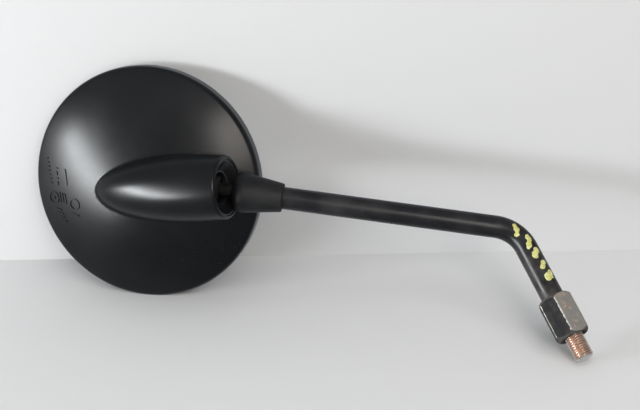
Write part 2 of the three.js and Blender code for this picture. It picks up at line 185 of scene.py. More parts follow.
def rounded(profile, radii, steps=4, closed=True):
    """A profile with its corners rounded; radii gives a radius for each point, 0 for none."""
    made = []
    count = len(profile)
    for i, (point, radius) in enumerate(zip(profile, radii)):
        if radius == 0 or (not closed and i in (0, count - 1)):
            made.append(tuple(point))
            continue
        here = np.array(point, float)
        before = np.array(profile[i - 1], float) - here
        after = np.array(profile[(i + 1) % count], float) - here
        back = before / np.linalg.norm(before)
        forth = after / np.linalg.norm(after)
        half = math.acos(np.clip(back @ forth, -1, 1)) / 2
        reach = radius / math.tan(half)
        start, end = here + back * reach, here + forth * reach
        centre = here + unit(back + forth) * radius / math.sin(half)
        a0 = math.atan2(*(start - centre)[::-1])
        a1 = math.atan2(*(end - centre)[::-1])
        sweep = (a1 - a0 + math.pi) % (2 * math.pi) - math.pi
        for k in range(steps + 1):
            a = a0 + sweep * k / steps
            made.append((centre[0] + radius * math.cos(a), centre[1] + radius * math.sin(a)))
    return made


def lathe(name, profile, place, segments=128):
    """A body of revolution about the third axis; its profile closes on itself or runs from axis to axis."""
    profile = [tuple(map(float, p)) for p in profile]
    area = sum(a[0] * b[1] - b[0] * a[1] for a, b in zip(profile, profile[1:] + profile[:1]))
    if area < 0:
        profile = profile[::-1]
    turns = around(segments)
    points, rings = [], []
    for r, z in profile:
        if r < 1e-9:
            rings.append([len(points)] * segments)
            points.append((0, 0, z))
        else:
            rings.append(list(range(len(points), len(points) + segments)))
            points.extend((r * math.cos(a), r * math.sin(a), z) for a in turns)
    faces = []
    on_axis = profile[0][0] < 1e-9
    pairs = list(zip(rings, rings[1:])) + ([] if on_axis else [(rings[-1], rings[0])])
    for low, high in pairs:
        for j in range(segments):
            k = (j + 1) % segments
            loop = [low[j], low[k], high[k], high[j]]
            face = [v for n, v in enumerate(loop) if v != loop[n - 1]]
            if len(face) > 2:
                faces.append(face)
    return new_object(name, points, faces, place)


def skin(name, rings, place, closed, smooth_angle=SHARP_ANGLE):
    """Skins a row of equal rings; a closed row joins its last ring to its first, an open one is capped."""
    size = len(rings[0])
    points = np.concatenate(rings)
    count = len(rings)
    faces = []
    for i in range(count if closed else count - 1):
        for j in range(size):
            k = (j + 1) % size
            n = (i + 1) % count
            faces.append((i * size + j, i * size + k, n * size + k, n * size + j))
    if not closed:
        faces.append(range(size - 1, -1, -1))
        faces.append(range((count - 1) * size, count * size))
    return new_object(name, points, faces, place, smooth_angle)


def gradient(field, points):
    """The direction in which a field grows, at each point."""
    reach = 1e-3
    parts = [field(points + reach * a) - field(points - reach * a) for a in (X, Y, Z)]
    return np.stack(parts, -1) / (2 * reach)


def settle(field, points):
    """Moves points onto a field's zero surface."""
    for _ in range(4):
        slope = gradient(field, points)
        points = points - slope * (field(points) / np.maximum((slope ** 2).sum(-1), 1e-9))[:, None]
    return points


def surface_nets(field, low, high, step):
    """A closed mesh of quads on the zero surface of a distance field that is negative inside."""
    axes = [np.arange(a, b + step, step) for a, b in zip(low, high)]
    grid = np.stack(np.meshgrid(*axes, indexing="ij"), -1)
    value = field(grid.reshape(-1, 3)).reshape(grid.shape[:3])
    inside = value < 0
    cells = np.array(value.shape) - 1

    def corner(array, offset):
        return array[tuple(slice(o, o + n) for o, n in zip(offset, cells))]

    offsets = [np.array(o) for o in np.ndindex(2, 2, 2)]
    filled = sum(corner(inside, o).astype(int) for o in offsets)
    mixed = (filled > 0) & (filled < 8)
    total = np.zeros((mixed.sum(), 3))
    crossings = np.zeros(mixed.sum())
    for start in offsets:
        for axis in range(3):
            if start[axis]:
                continue
            end = start.copy()
            end[axis] = 1
            a, b = corner(value, start)[mixed], corner(value, end)[mixed]
            crossed = (a < 0) != (b < 0)
            share = np.where(crossed, a / np.where(crossed, a - b, 1), 0)
            total += np.where(crossed[:, None], start + share[:, None] * np.eye(3)[axis], 0)
            crossings += crossed
    points = (np.argwhere(mixed) + total / crossings[:, None]) * step + np.array([a[0] for a in axes])
    index = np.full(mixed.shape, -1)
    index[mixed] = np.arange(len(points))
    faces, unit_steps = [], np.eye(3, dtype=int)
    for axis in range(3):
        u, v = unit_steps[(axis + 1) % 3], unit_steps[(axis + 2) % 3]
        steps = np.diff(inside.astype(int), axis=axis)
        edges = np.argwhere(steps != 0)
        edges = edges[np.all((edges - u - v >= 0) | (unit_steps[axis] > 0), axis=1)]
        outward = steps[tuple(edges.T)] < 0
        quad = np.stack([index[tuple((edges + o).T)] for o in (-u - v, -v, 0 * u, -u)], -1)
        faces.append(np.where(outward[:, None], quad, quad[:, ::-1]))
    return settle(field, points), np.concatenate(faces)


def combine(kind, shape, *others):
    """Joins other closed objects to one, or cuts them from it, and removes them."""
    for other in others:
        step = shape.modifiers.new(kind.lower(), "BOOLEAN")
        step.operation = kind
        step.solver = "MANIFOLD"
        step.object = other
        evaluated = shape.evaluated_get(bpy.context.evaluated_depsgraph_get())
        mesh = bpy.data.meshes.new_from_object(evaluated)
        shape.modifiers.clear()
        shape.data = mesh
        bpy.data.objects.remove(other)
    return shape


def follow_field(shape, field, place):
    """Smooth normals of a distance field on the faces that lie on it, and sharp edges on the others."""
    near = 0.05
    mesh = shape.data
    shade(mesh, SHARP_ANGLE)
    slope = gradient(field, place.into(positions(mesh.vertices, "co")))
    slope /= np.maximum(np.linalg.norm(slope, axis=1), 1e-9)[:, None]
    on_field = np.abs(field(place.into(positions(mesh.polygons, "center")))) < near
    smooth = np.repeat(on_field, numbers(mesh.polygons, "loop_total"))
    corners = numbers(mesh.loops, "vertex_index")
    normals = np.where(smooth[:, None], (slope @ place.axes)[corners], 0)
    mesh.normals_split_custom_set(normals.tolist())


# Distance-field helpers: a and b are distances, negative inside.

def round_union(a, b, radius):
    """Joins two fields with a concave fillet."""
    u, v = np.maximum(radius - a, 0), np.maximum(radius - b, 0)
    return np.maximum(radius, np.minimum(a, b)) - np.hypot(u, v)


def round_overlap(a, b, radius):
    """Keeps what is inside both fields, with its edge rounded."""
    u, v = np.maximum(radius + a, 0), np.maximum(radius + b, 0)
    return np.minimum(-radius, np.maximum(a, b)) + np.hypot(u, v)


# ---- materials

class Finish:
    """A node material: one Principled shader with textures in the object's own coordinates, in metres."""

    def __init__(self, name, color, roughness, metallic=0.0, **sockets):
        self.material = bpy.data.materials.new(name)
        self.material.use_nodes = True
        self.tree = self.material.node_tree
        self.shader = self.tree.nodes["Principled BSDF"]
        self.shader.inputs["Base Color"].default_value = (*color, 1)
        self.shader.inputs["Roughness"].default_value = roughness
        self.shader.inputs["Metallic"].default_value = metallic
        for socket, value in sockets.items():
            self.shader.inputs[socket.replace("_", " ").title().replace("Ior", "IOR")].default_value = value
        self.place = self.tree.nodes.new("ShaderNodeTexCoord").outputs["Object"]

    def put(self, value, socket):
        """Sets or links one input socket."""
        if isinstance(value, bpy.types.NodeSocket):
            self.tree.links.new(value, socket)
        else:
            socket.default_value = value

    def math(self, operation, *values, clamp=False):
        node = self.tree.nodes.new("ShaderNodeMath")
        node.operation = operation
        node.use_clamp = clamp
        for value, socket in zip(values, node.inputs):
            self.put(value, socket)
        return node.outputs[0]

    def plus(self, a, b):
        return self.math("ADD", a, b)

    def minus(self, a, b):
        return self.math("SUBTRACT", a, b)

    def times(self, a, b):
        return self.math("MULTIPLY", a, b)

    def radius(self, x, y):
        return self.math("SQRT", self.plus(self.times(x, x), self.times(y, y)))

    def vector(self, operation, *values, output=0):
        node = self.tree.nodes.new("ShaderNodeVectorMath")
        node.operation = operation
        for value, socket in zip(values, node.inputs):
            self.put(value, socket)
        return node.outputs[output]

    def turned(self, place, scale=(1, 1, 1)):
        """Object coordinates in a local frame, in millimetres, stretched by scale."""
        moved = self.vector("SUBTRACT", self.place, tuple(place.origin * MM))
        axes = [tuple(axis * stretch / MM) for axis, stretch in zip(place.axes, scale)]
        rows = [self.vector("DOT_PRODUCT", moved, axis, output=1) for axis in axes]
        node = self.tree.nodes.new("ShaderNodeCombineXYZ")
        for row, socket in zip(rows, node.inputs):
            self.put(row, socket)
        return node.outputs[0]

    def split(self, vector):
        node = self.tree.nodes.new("ShaderNodeSeparateXYZ")
        self.put(vector, node.inputs[0])
        return node.outputs

    def noise(self, size, detail=2.0, roughness=0.5, distortion=0.0, at=None):
        """Noise whose features measure size, in metres or in the units of at."""
        node = self.tree.nodes.new("ShaderNodeTexNoise")
        self.put(self.place if at is None else at, node.inputs["Vector"])
        node.inputs["Scale"].default_value = 1 / size
        node.inputs["Detail"].default_value = detail
        node.inputs["Roughness"].default_value = roughness
        node.inputs["Distortion"].default_value = distortion
        return node.outputs[0]

    def cells(self, size):
        """Distance to the middle of the nearest of many scattered cells."""
        node = self.tree.nodes.new("ShaderNodeTexVoronoi")
        self.put(self.place, node.inputs["Vector"])
        node.inputs["Scale"].default_value = 1 / size
        return node.outputs["Distance"]

    def spread(self, value, low, high, out_low=0.0, out_high=1.0):
        """Maps low..high to out_low..out_high, smoothly and without going past either."""
        node = self.tree.nodes.new("ShaderNodeMapRange")
        node.interpolation_type = "SMOOTHSTEP"
        for v, socket in zip((value, low, high, out_low, out_high), node.inputs):
            self.put(v, socket)
        return node.outputs[0]

    def mix(self, share, first, second):
        node = self.tree.nodes.new("ShaderNodeMix")
        node.data_type = "RGBA"
        self.put(share, node.inputs["Factor"])
        for color, socket in ((first, node.inputs[6]), (second, node.inputs[7])):
            self.put(color if isinstance(color, bpy.types.NodeSocket) else (*color, 1), socket)
        return node.outputs[2]

    def color(self, value):
        self.put(value, self.shader.inputs["Base Color"])

    def roughness(self, value):
        self.put(value, self.shader.inputs["Roughness"])

    def metallic(self, value):
        self.put(value, self.shader.inputs["Metallic"])

    def bump(self, *layers):
        """Layers of (height, strength, depth in metres), each laid over the one before."""
        normal = None
        for height, strength, depth in layers:
            node = self.tree.nodes.new("ShaderNodeBump")
            node.inputs["Strength"].default_value = strength
            node.inputs["Distance"].default_value = depth
            self.put(height, node.inputs["Height"])
            if normal is not None:
                self.put(normal, node.inputs["Normal"])
            normal = node.outputs[0]
        self.put(normal, self.shader.inputs["Normal"])


def shell_plastic():
    """Satin black moulded plastic, slightly greyed by age, with fine grain and a few hairline scuffs."""
    f = Finish("shell_plastic", (0.008, 0.0085, 0.0095), 0.36)
    age = f.noise(0.055, 3)
    fine = f.noise(0.0045, 4, 0.6)
    plane = f.turned(head)
    hairs = f.spread(f.noise(0.5, 3, 0.6, at=f.turned(head, (0.05, 0.9, 0.3))), 0.70, 0.80)
    patch = f.spread(f.noise(18, 2, at=plane), 0.52, 0.66)
    scuffs = f.times(hairs, patch)
    base = f.mix(f.spread(age, 0.3, 0.7), (0.006, 0.0065, 0.0075), (0.010, 0.0105, 0.0115))
    f.color(f.mix(f.times(scuffs, 0.12), base, (0.07, 0.07, 0.07)))
    worn = f.plus(f.spread(age, 0.3, 0.7, 0.25, 0.31), f.times(fine, 0.05))
    f.roughness(f.plus(worn, f.times(scuffs, 0.2)))
    f.bump((f.noise(0.00035, 2), 0.10, 0.00002), (fine, 0.10, 0.00006))
    return f.material


def boot_rubber():
    """Matte black rubber with a faint dusty bloom and a fine moulded grain."""
    f = Finish("boot_rubber", (0.012, 0.012, 0.013), 0.62)
    bloom = f.noise(0.012, 4, 0.6)
    f.color(f.mix(f.spread(bloom, 0.35, 0.7), (0.007, 0.0075, 0.0085), (0.014, 0.014, 0.015)))
    f.roughness(f.spread(bloom, 0.3, 0.7, 0.50, 0.64))
    f.bump((f.noise(0.0006, 3), 0.25, 0.00003), (bloom, 0.12, 0.0001))
    return f.material


def stem_paint():
    """Satin black paint over steel tube: orange peel, chips down to metal, and a lighter brown band near the
    nut that is partly handling wear and partly a painted dull highlight.
    """
    f = Finish("stem_paint", (0.014, 0.014, 0.016), 0.34)
    rub = f.noise(0.02, 4, 0.6)
    chips = f.spread(f.noise(0.0042, 3, 0.55), 0.735, 0.76)
    paint = f.mix(f.spread(rub, 0.4, 0.75), (0.011, 0.011, 0.013), (0.026, 0.025, 0.026))
    height = f.split(f.turned(stud))[2]
    # Lighter brown, rougher band on the lower stem: partly handling wear, partly a painted dull highlight.
    handling_wear_and_sheen = f.times(f.spread(height, 62, 34), f.spread(rub, 0.3, 0.55))
    paint = f.mix(handling_wear_and_sheen, paint, (0.052, 0.046, 0.041))
    f.color(f.mix(chips, paint, (0.24, 0.22, 0.20)))
    dull = f.plus(f.spread(rub, 0.35, 0.7, 0.27, 0.42), f.times(handling_wear_and_sheen, 0.16))
    f.roughness(f.plus(dull, f.times(chips, 0.12)))
    f.bump((f.noise(0.0012, 2), 0.12, 0.00004), (f.minus(1.0, chips), 0.4, 0.00004))
    return f.material


def nut_paint():
    """Black paint on a steel hexagon, worn to metal on one flat and along its edges, with rust specks."""
    f = Finish("nut_paint", (0.02, 0.02, 0.022), 0.55)
    x, y, z = f.split(f.turned(nut_place))
    along = f.plus(f.times(x, NUT_WORN_SIDE[0]), f.times(y, NUT_WORN_SIDE[1]))
    fray = f.times(f.minus(f.noise(0.003, 4, 0.65), 0.5), 1.6)
    worn_flat = f.spread(f.plus(along, fray), NUT_FLATS / 2 - 0.75, NUT_FLATS / 2 - 0.35)
    radius = f.radius(x, y)
    corner_radius = NUT_FLATS / math.sqrt(3)
    worn_edge = f.spread(f.plus(radius, f.times(fray, 0.5)), corner_radius - 0.30, corner_radius - 0.05)
    middle = f.math("ABSOLUTE", f.minus(z, NUT_HEIGHT / 2))
    chamfer = f.minus(f.plus(radius, middle), NUT_END_RADIUS + NUT_HEIGHT / 2)
    worn_end = f.spread(f.plus(f.math("ABSOLUTE", chamfer), f.times(fray, 0.5)), 0.25, 0.0)
    bare = f.math("MAXIMUM", worn_flat, f.math("MAXIMUM", worn_edge, f.times(worn_end, 0.15)))
    specks = f.spread(f.noise(0.0025, 4, 0.65), 0.55, 0.66)
    grain = f.noise(0.7, 4, 0.6, at=f.turned(nut_place, (3.0, 3.0, 0.5)))
    metal = f.mix(grain, (0.40, 0.385, 0.36), (0.60, 0.58, 0.54))
    metal = f.mix(f.times(specks, 0.75), metal, (0.42, 0.19, 0.08))
    paint = f.mix(f.spread(f.noise(0.004, 3), 0.35, 0.65), (0.014, 0.014, 0.015), (0.030, 0.029, 0.028))
    f.color(f.mix(bare, paint, metal))
    f.metallic(f.times(bare, f.spread(specks, 0, 1, 0.75, 0.2)))
    f.roughness(f.spread(bare, 0, 1, 0.62, 0.48))
    f.put(f.spread(bare, 0, 1, 0.16, 0.5), f.shader.inputs["Specular IOR Level"])
    f.bump((f.noise(0.0009, 3), 0.2, 0.00004), (grain, 0.15, 0.00003), (f.minus(1.0, bare), 0.4, 0.00005))
    return f.material


def stud_steel():
    """Thread stained a coppery brown by rust, with bright crests."""
    f = Finish("stud_steel", (0.35, 0.20, 0.12), 0.42, 0.85)
    x, y, z = f.split(f.turned(stud))
    radius = f.radius(x, y)
    stain = f.noise(0.0035, 4, 0.6)
    uneven = f.plus(radius, f.times(f.minus(stain, 0.5), 0.5))
    crest = f.spread(uneven, THREAD_RADIUS - 0.40, THREAD_RADIUS - 0.16)
    crest = f.math("MAXIMUM", crest, f.spread(z, STUD_END + 0.9, STUD_END + 0.5, 0, 0.85))
    rust = f.mix(f.spread(stain, 0.35, 0.65), (0.50, 0.21, 0.08), (0.74, 0.42, 0.20))
    f.color(f.mix(crest, rust, (0.85, 0.83, 0.80)))
    f.roughness(f.spread(crest, 0, 1, 0.48, 0.27))
    f.metallic(f.spread(stain, 0.3, 0.7, 0.7, 0.95))
    f.bump((f.noise(0.0005, 3), 0.25, 0.00003))
    return f.material


def oiled_steel(name, base, tones, dull, **sockets):
    """Turned or blackened steel under a thin, uneven film of oil."""
    f = Finish(name, *base, **sockets)
    film = f.noise(0.004, 4, 0.6)
    f.color(f.mix(f.spread(film, 0.4, 0.7), *tones))
    f.roughness(f.spread(film, 0.3, 0.7, *dull))
    f.bump((f.noise(0.0004, 2), 0.15, 0.00002))
    return f.material


def bare_steel():
    tones = (0.56, 0.56, 0.57), (0.42, 0.40, 0.37)
    return oiled_steel("steel", ((0.55, 0.55, 0.56), 0.3, 1.0), tones, (0.24, 0.40))


def black_steel():
    tones = (0.004, 0.004, 0.004), (0.008, 0.0075, 0.007)
    return oiled_steel("black_steel", ((0.005, 0.005, 0.005), 0.6), tones, (0.52, 0.66),
                       specular_ior_level=0.15)


def nylon():
    """Black nylon, slightly waxy, with moulding flow marks."""
    f = Finish("nylon", (0.008, 0.008, 0.008), 0.5, specular_ior_level=0.25)
    flow = f.noise(0.006, 3, 0.5, 0.6)
    f.color(f.mix(flow, (0.005, 0.005, 0.005), (0.011, 0.011, 0.011)))
    f.roughness(f.spread(flow, 0.3, 0.7, 0.36, 0.5))
    f.bump((f.noise(0.0008, 2), 0.15, 0.00003))
    return f.material


def gasket_rubber():
    """Black rubber channel round the glass, cleaner than the boot."""
    f = Finish("gasket_rubber", (0.012, 0.012, 0.012), 0.55)
    bloom = f.noise(0.008, 3)
    f.color(f.mix(bloom, (0.009, 0.009, 0.010), (0.020, 0.020, 0.020)))
    f.roughness(f.spread(bloom, 0.3, 0.7, 0.46, 0.60))
    f.bump((f.noise(0.0007, 3), 0.2, 0.00003))
    return f.material


def mirror_face():
    """Silvered glass with a little dust and a few dried water spots."""
    f = Finish("mirror_face", (0.80, 0.82, 0.82), 0.02, 1.0)
    dust = f.noise(0.03, 5, 0.65)
    spots = f.spread(f.cells(0.006), 0.16, 0.06)
    few = f.times(spots, f.spread(f.noise(0.02, 2), 0.55, 0.65))
    f.color(f.mix(f.times(few, 0.25), (0.80, 0.82, 0.82), (0.62, 0.62, 0.60)))
    f.roughness(f.plus(f.spread(dust, 0.4, 0.8, 0.015, 0.07), f.times(few, 0.12)))
    f.bump((dust, 0.02, 0.00001))
    return f.material


def foam():
    """Grey open-cell foam."""
    f = Finish("foam", (0.05, 0.05, 0.052), 0.95)
    pores = f.cells(0.0012)
    # Darker at each cell's middle: painted shade in the pores.
    f.color(f.mix(f.spread(pores, 0.1, 0.5), (0.02, 0.02, 0.021), (0.065, 0.066, 0.068)))
    f.roughness(f.spread(pores, 0, 0.6, 0.85, 0.98))
    f.bump((pores, 0.6, 0.0003))
    return f.material


def backing_card():
    """Grey pressed fibreboard."""
    f = Finish("backing_card", (0.09, 0.09, 0.095), 0.7)
    fibres = f.noise(0.0009, 5, 0.7)
    f.color(f.mix(fibres, (0.06, 0.06, 0.063), (0.13, 0.13, 0.13)))
    f.roughness(f.spread(fibres, 0.3, 0.7, 0.62, 0.8))
    f.bump((fibres, 0.3, 0.00006))
    return f.material


def yellow_paint():
    """Thick yellow marker paint, cracked and paler where it is thin."""
    f = Finish("yellow_paint", (0.55, 0.54, 0.20), 0.5)
    thin = f.noise(0.0018, 4, 0.6)
    f.color(f.mix(f.spread(thin, 0.35, 0.7), (0.50, 0.47, 0.10), (0.62, 0.63, 0.36)))
    f.roughness(f.spread(thin, 0.3, 0.7, 0.42, 0.62))
    f.bump((thin, 0.4, 0.00012))
    return f.material


# ---- head: shell, boss and mouth

SHELL_RADIUS, SHELL_HEIGHT, SHELL_EDGE = 66.0, 20.0, 4.0
SHELL_WALL, SHELL_SKIRT = 2.5, 5.6
BEAD_DEPTH, BEAD_HEIGHT = 0.9, 0.4
BOSS_RADIUS, BOSS_RIM, BOSS_LENGTH, BOSS_BELLY = 18.5, 17.0, 79.5, 24.0
BOSS_WALL, BOSS_MOUTH, BOSS_LIP, BOSS_BLOCK = 2.2, 11.0, 1.5, 16.8
BOSS_FILLET = 1.4
SEAT_BORE, SEAT_BORE_TOP, CLAMP_FACE = 9.9, 4.5, -16.3
SCREW_COUNT, SCREW_CIRCLE, SCREW_HOLE, SCREW_DEPTH = 3, 12.2, 1.6, 9.1
RIB_COUNT, RIB_WIDTH, RIB_INNER, RIB_OUTER, RIB_BOTTOM = 8, 1.8, 46.0, 66.0, 1.9

edge_circle = SHELL_RADIUS - SHELL_EDGE
dome_radius = (edge_circle ** 2 + SHELL_HEIGHT ** 2 - SHELL_EDGE ** 2) / (2 * (SHELL_HEIGHT - SHELL_EDGE))
dome_centre = SHELL_HEIGHT - dome_radius


def dome_field(p):
    """The shell's closed outer form: a shallow dome turned down round its rim, cut flat below."""
    r, z = np.hypot(p[:, 0], p[:, 1]), p[:, 2]
    over_dome = r * -dome_centre < edge_circle * (z - dome_centre)
    skirt = np.where(z < 0, r - SHELL_RADIUS, np.hypot(r - edge_circle, z) - SHELL_EDGE)
    body = np.where(over_dome, np.hypot(r, z - dome_centre) - dome_radius, skirt)
    return round_overlap(body, -SHELL_SKIRT - z, 0.5)


def boss_field(p):
    """The bullet: an ellipsoid that narrows again towards the mouth, cut flat there with a rounded lip."""
    from_ball = p - ball_in_head
    t = from_ball @ boss_axis_in_head
    across = np.linalg.norm(from_ball - t[:, None] * boss_axis_in_head, axis=1)
    back = BOSS_MOUTH - BOSS_BELLY - t
    front_length = BOSS_BELLY / math.sqrt(1 - (BOSS_RIM / BOSS_RADIUS) ** 2)
    half_length = np.where(back > 0, BOSS_LENGTH - BOSS_BELLY, front_length)
    reach = np.hypot(across / BOSS_RADIUS, back / half_length)
    slope = np.hypot(across / BOSS_RADIUS ** 2, back / half_length ** 2)
    side = np.where(reach > 1e-6, reach * (reach - 1) / np.maximum(slope, 1e-6), -BOSS_RADIUS)
    return round_overlap(side, t - BOSS_MOUTH, BOSS_LIP)


def shell_field(p):
    return round_union(dome_field(p), boss_field(p), BOSS_FILLET)


def dome_profile(inset):
    """The dome's outline from the axis down to the top of the skirt, set in by a wall."""
    lean = math.degrees(math.atan2(edge_circle, -dome_centre))
    return [
        (0, SHELL_HEIGHT - inset),
        *arc(0, dome_centre, dome_radius - inset, 88, 90 - lean, 14),
        *arc(edge_circle, 0, SHELL_EDGE - inset, 90 - lean, 0, 10)[1:],
    ]


def boss_profile(inset, length):
    widest, rim = BOSS_RADIUS - inset, BOSS_RIM - inset
    angles = np.radians(np.linspace(0, 90, 25))
    side = [(widest * math.sin(a), -BOSS_BELLY - (length - BOSS_BELLY) * math.cos(a)) for a in angles]
    front = [(math.sqrt(widest ** 2 - (widest ** 2 - rim ** 2) * share ** 2), BOSS_BELLY * (share - 1))
             for share in (0.2, 0.4, 0.6, 0.8)]
    return [*side, *front, *arc(rim - BOSS_LIP, -BOSS_LIP, BOSS_LIP, 0, 90, 5), (0, 0)]


def mouth_profile():
    """What is cut from the boss's mouth: a lip, a narrow ledge, a cone, a floor and the ball's throat."""
    throat, floor, shelf, edge = 7.5, 9.4, 14.2, 15.4
    floor_at, shelf_at, past = 6.7, BOSS_MOUTH - 0.8, BOSS_MOUTH + 2
    corners = [(0, 4.0), (throat, 4.0), (throat + 0.8, floor_at), (floor, floor_at), (shelf, shelf_at),
               (edge - 0.4, shelf_at), (edge, BOSS_MOUTH + 0.2), (edge, past), (0, past)]
    return rounded(corners, [0, 0, 0.25, 0.4, 0.35, 0.2, 0, 0, 0], closed=False)


def boss_cylinder(name, radius, low, high, x=0.0, y=0.0, segments=96):
    place = Place(boss.out((x, y, 0)), *boss.axes)
    return lathe(name, [(0, low), (radius, low), (radius, high), (0, high)], place, segments)


def shell_cavity():
    """The space inside the shell and the boss, less the block that holds the ball and the plate's ribs."""
    wall_radius = SHELL_RADIUS - SHELL_WALL
    lip_radius = wall_radius - BEAD_DEPTH
    bead_top = BEAD_HEIGHT - SHELL_SKIRT
    outline = [*dome_profile(SHELL_WALL), (wall_radius, bead_top), (lip_radius, bead_top),
               (lip_radius, -SHELL_SKIRT - 3), (0, -SHELL_SKIRT - 3)]
    cavity = lathe("cavity", outline, head, 144)
    inner_mouth = Place(boss.out((0, 0, BOSS_MOUTH - BOSS_WALL)), *boss.axes)
    inner_boss = lathe("inner_boss", boss_profile(BOSS_WALL, BOSS_LENGTH - 3), inner_mouth, 96)
    block = boss_cylinder("block", BOSS_BLOCK, CLAMP_FACE, BOSS_MOUTH + 2)
    combine("UNION", cavity, inner_boss)
    combine("DIFFERENCE", cavity, block)
    half = RIB_WIDTH / 2
    for i in range(RIB_COUNT):
        a = 2 * math.pi * (i + 0.5) / RIB_COUNT
        along, side = math.cos(a) * X + math.sin(a) * Y, -math.sin(a) * X + math.cos(a) * Y
        ring = np.array([along * r + side * s for r, s in
                         ((RIB_INNER, -half), (RIB_OUTER, -half), (RIB_OUTER, half), (RIB_INNER, half))])
        rib = skin("rib", [ring + RIB_BOTTOM * Z, ring + SHELL_HEIGHT * Z], head, False)
        combine("DIFFERENCE", cavity, rib)
    return cavity


def dome_height(x, y):
    return dome_centre + math.sqrt(dome_radius ** 2 - x * x - y * y)


MARK_HEIGHT, MARK_SINK = 0.6, 0.5


def raised_mark(outline):
    """A low moulded mark with sloping sides on the dome; outline is counterclockwise, in the head's frame."""
    slope = 0.14
    outline = np.array(outline, float)
    middle = outline.mean(0)
    offset = outline - middle
    length = np.linalg.norm(offset, axis=1)[:, None]
    rings = []
    for lift, shrink in ((-MARK_SINK, -0.05), (0, 0), (MARK_HEIGHT * 0.7, slope * 0.5), (MARK_HEIGHT, slope)):
        flat = middle + offset * (1 - shrink / length)
        rings.append(np.array([(x, y, dome_height(x, y) + lift) for x, y in flat]))
    return skin("mark", rings, head, False)


def bar(x, y, angle, length, width):
    """The outline of a bar with round ends."""
    a = math.radians(angle)
    along, side = np.array([math.cos(a), math.sin(a)]), np.array([-math.sin(a), math.cos(a)])
    points = []
    for end in (1, -1):
        for t in np.radians(np.linspace(-90, 90, 7)):
            reach = length / 2 + width / 2 * math.cos(t)
            points.append(end * (reach * along + width / 2 * math.sin(t) * side))
    return [(x + p[0], y + p[1]) for p in points]


def ring_mark(x, y, radius, width):
    """A low moulded ring, made as a closed band that follows the dome."""
    foot, crest = width / 2, width * 0.3
    profile = ((-foot, -MARK_SINK), (foot, -MARK_SINK), (crest, MARK_HEIGHT), (-crest, MARK_HEIGHT))
    rings = []
    for a in around(40):
        section = []
        for r, lift in profile:
            px, py = x + (radius + r) * math.cos(a), y + (radius + r) * math.sin(a)
            section.append((px, py, dome_height(px, py) + lift))
        rings.append(np.array(section[::-1]))
    return skin("mark", rings, head, True)


def moulding_marks():
    """Plain raised moulding marks near the rim: rows of short bars, two rings, a dot and a long bar."""
    bars = [(-53.6, -3.8, 0, 0.01, 1.8)]
    bars += [(-56.0 + 0.22 * i, 18.6 - 2.3 * i, 8, 1.9, 0.95) for i in range(7)]
    bars += [(-49.3, 13.2 - 2.9 * i, 90 if i % 2 else 0, 1.5, 0.95) for i in range(4)]
    bars += [(-49.0 + 1.8 * i, -3.4 - 0.4 * i, 90, 5.2, 0.85) for i in range(3)]
    bars += [(-51.6 + 0.8 * i, -10.6 - 2.3 * i, -12, 3.6, 0.95) for i in range(4)]
    bars += [(-43.0, 8.0, 90, 8.4, 0.95)]
    return [ring_mark(-53.6, -3.8, 3.3, 0.9), *[raised_mark(bar(*sizes)) for sizes in bars],
            ring_mark(-39.4, -7.4, 3.0, 0.95), raised_mark(bar(-40.2, -13.4, -20, 5.0, 0.95))]


def mirror_housing():
    low, high, step = (-67.2, -67.2, -6.8), (67.2, 67.2, 46), 0.8
    points, faces = surface_nets(shell_field, low, high, step)
    shell = new_object("mirror_housing_fine", points, faces, head)
    combine("DIFFERENCE", shell, shell_cavity())
    combine("DIFFERENCE", shell, lathe("mouth", mouth_profile(), boss, 160))
    bore = boss_cylinder("bore", SEAT_BORE, CLAMP_FACE - 5, SEAT_BORE_TOP, segments=128)
    combine("DIFFERENCE", shell, bore)
    for a in around(SCREW_COUNT):
        x, y = SCREW_CIRCLE * math.cos(a), SCREW_CIRCLE * math.sin(a)
        hole = boss_cylinder("hole", SCREW_HOLE, CLAMP_FACE - 1, CLAMP_FACE + SCREW_DEPTH, x, y, 32)
        combine("DIFFERENCE", shell, hole)
    combine("UNION", shell, *moulding_marks())
    follow_field(shell, shell_field, head)
    return shell


# ---- head: glass, gasket, foam and ball seat

GLASS_RADIUS, GLASS_THICKNESS, GLASS_EDGE, GLASS_CROWN = 61.0, 2.2, -3.7, 1.33


def crown(r):
    return -GLASS_CROWN * (1 - (r / GLASS_RADIUS) ** 2)


def crowned_disc(name, radius, front, back, round_edge, flat_back=False):
    radii = np.linspace(0, radius, 15)
    face = [(r, front + crown(r)) for r in radii]
    rear = [(r, back + (0 if flat_back else crown(r))) for r in radii[::-1]]
    profile = face + rear
    sizes = [0] * len(profile)
    sizes[len(face) - 1] = sizes[len(face)] = round_edge
    return lathe(name, rounded(profile, sizes, 4, closed=False), head, 192)


def mirror_glass():
    return crowned_disc("mirror_glass_fine", GLASS_RADIUS, GLASS_EDGE, GLASS_EDGE + GLASS_THICKNESS, 0.35)


def foam_pad():
    return crowned_disc("foam_pad_fine", 56.0, GLASS_EDGE + GLASS_THICKNESS + 0.3, 0.3, 0.5, flat_back=True)


def glass_gasket():
    """A rubber channel that grips the glass's edge."""
    outer, lip, front, back = 63.2, 59.6, -4.9, 0.2
    slot_outer, slot_front = GLASS_RADIUS + 0.3, GLASS_EDGE - 0.35
    slot_back = GLASS_EDGE + GLASS_THICKNESS + 0.3
    corners = [(lip, front), (outer, front), (outer, back), (lip, back), (lip, slot_back),
               (slot_outer, slot_back), (slot_outer, slot_front), (lip, slot_front)]
    return lathe("glass_gasket_fine", rounded(corners, [0.4, 0.5, 0.4, 0.3, 0.2, 0, 0, 0.2]), head, 192)


def front_seat_ring():
    sphere, outer, back, front = 8.7, 9.6, 0.8, 4.2
    angles = [math.degrees(math.asin(t / sphere)) for t in (front, back)]
    corners = [(outer - 0.3, back), (outer, back + 0.3), (outer, front - 0.3), (outer - 0.3, front),
               *arc(0, 0, sphere, *angles, 10)]
    return lathe("front_seat_ring_fine", corners, boss, 128)


# ---- stem: tube, ball, cap and boot

